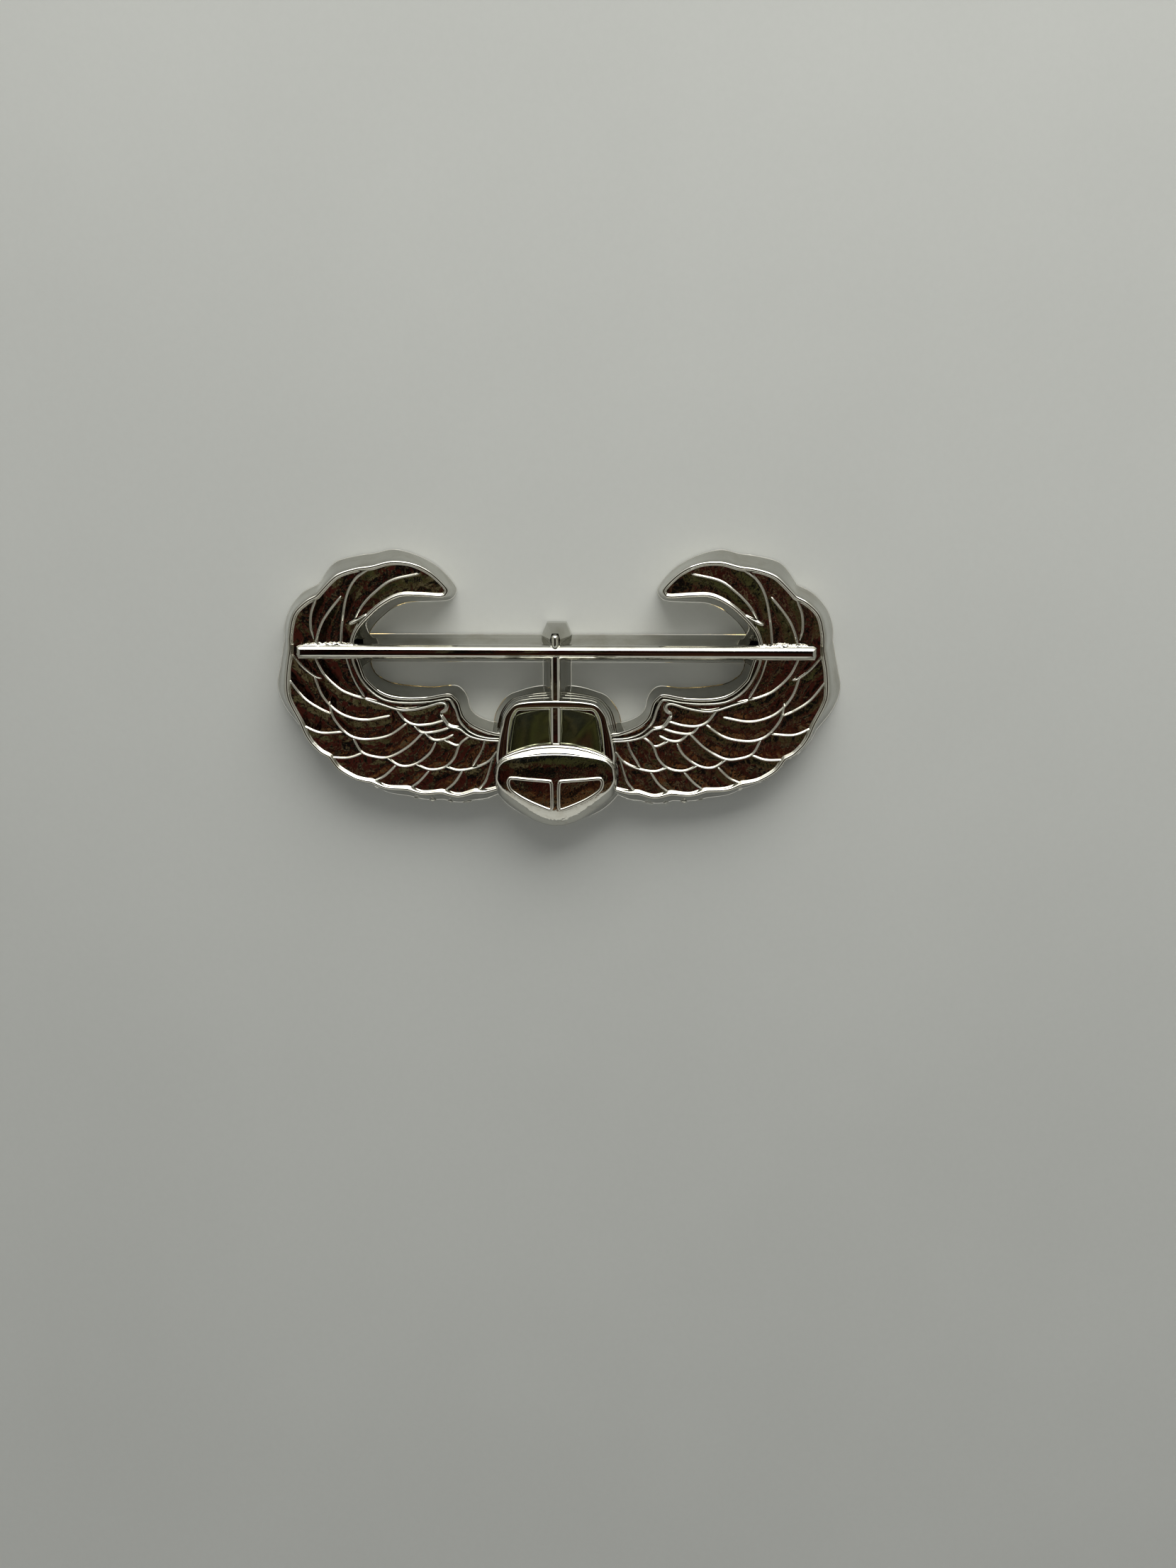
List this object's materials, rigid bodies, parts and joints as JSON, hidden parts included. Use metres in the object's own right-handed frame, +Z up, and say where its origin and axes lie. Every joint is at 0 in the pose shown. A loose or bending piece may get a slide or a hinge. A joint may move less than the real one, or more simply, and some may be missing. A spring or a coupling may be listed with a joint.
{
  "type": "pilot wings pin",
  "caption": "Polished metal flight badge: feathered wings curving round a rotor blade over a helicopter cabin front, with nail posts and squeeze clutches behind.",
  "frame": {"origin": "on the back face, under the middle of the rotor blade, on the badge's centreline", "axes": "+X to the badge's right as seen from its face, +Z up as worn, the face looks towards -Y and the posts point towards +Y"},
  "size_m": [0.0388, 0.0121, 0.0191],
  "materials": {
    "badge_metal": "polished",
    "window_metal": "polished",
    "post_metal": "satin",
    "clutch_metal": "satin",
    "ear_metal": "satin"
  },
  "bodies": {
    "badge": {"back_plate": "badge_metal", "wing_left": "badge_metal", "wing_right": "badge_metal", "rotor_blade": "badge_metal", "mast": "badge_metal", "rotor_hub": "badge_metal", "cabin_frame": "badge_metal", "windscreen_left": "window_metal", "windscreen_right": "window_metal", "brow_band": "badge_metal", "nose_cone": "badge_metal", "chin_window_left": "window_metal", "chin_window_right": "window_metal", "post_left": "post_metal", "post_right": "post_metal"},
    "clutch_left": {"clutch_plate_left": "clutch_metal", "clutch_cap_left": "clutch_metal"},
    "ear_outer_left": {"ear_outer_left": "ear_metal"},
    "ear_inner_left": {"ear_inner_left": "ear_metal"},
    "clutch_right": {"clutch_plate_right": "clutch_metal", "clutch_cap_right": "clutch_metal"},
    "ear_outer_right": {"ear_outer_right": "ear_metal"},
    "ear_inner_right": {"ear_inner_right": "ear_metal"}
  },
  "joints": [
    {"name": "clutch_left_pull", "type": "slide", "parent": "badge", "child": "clutch_left", "axis": [0, 1, 0], "range_m": [0, 0.009]},
    {"name": "ear_outer_left_squeeze", "type": "hinge", "parent": "clutch_left", "child": "ear_outer_left", "pos_m": [-0.01572, 0.0029, -0.00344], "axis": [0, 0, -1], "range_deg": [0, 10], "stiffness_Nm_per_rad": 0.002},
    {"name": "ear_inner_left_squeeze", "type": "hinge", "parent": "clutch_left", "child": "ear_inner_left", "pos_m": [-0.01027, 0.0029, -0.00344], "axis": [0, 0, 1], "range_deg": [0, 10], "stiffness_Nm_per_rad": 0.002},
    {"name": "clutch_right_pull", "type": "slide", "parent": "badge", "child": "clutch_right", "axis": [0, 1, 0], "range_m": [0, 0.009]},
    {"name": "ear_outer_right_squeeze", "type": "hinge", "parent": "clutch_right", "child": "ear_outer_right", "pos_m": [0.01572, 0.0029, -0.00344], "axis": [0, 0, 1], "range_deg": [0, 10], "stiffness_Nm_per_rad": 0.002},
    {"name": "ear_inner_right_squeeze", "type": "hinge", "parent": "clutch_right", "child": "ear_inner_right", "pos_m": [0.01027, 0.0029, -0.00344], "axis": [0, 0, -1], "range_deg": [0, 10], "stiffness_Nm_per_rad": 0.002}
  ],
  "couplings": [
    {"joint": "ear_inner_left_squeeze", "follows": "ear_outer_left_squeeze", "ratio": 1},
    {"joint": "ear_inner_right_squeeze", "follows": "ear_outer_right_squeeze", "ratio": 1}
  ]
}
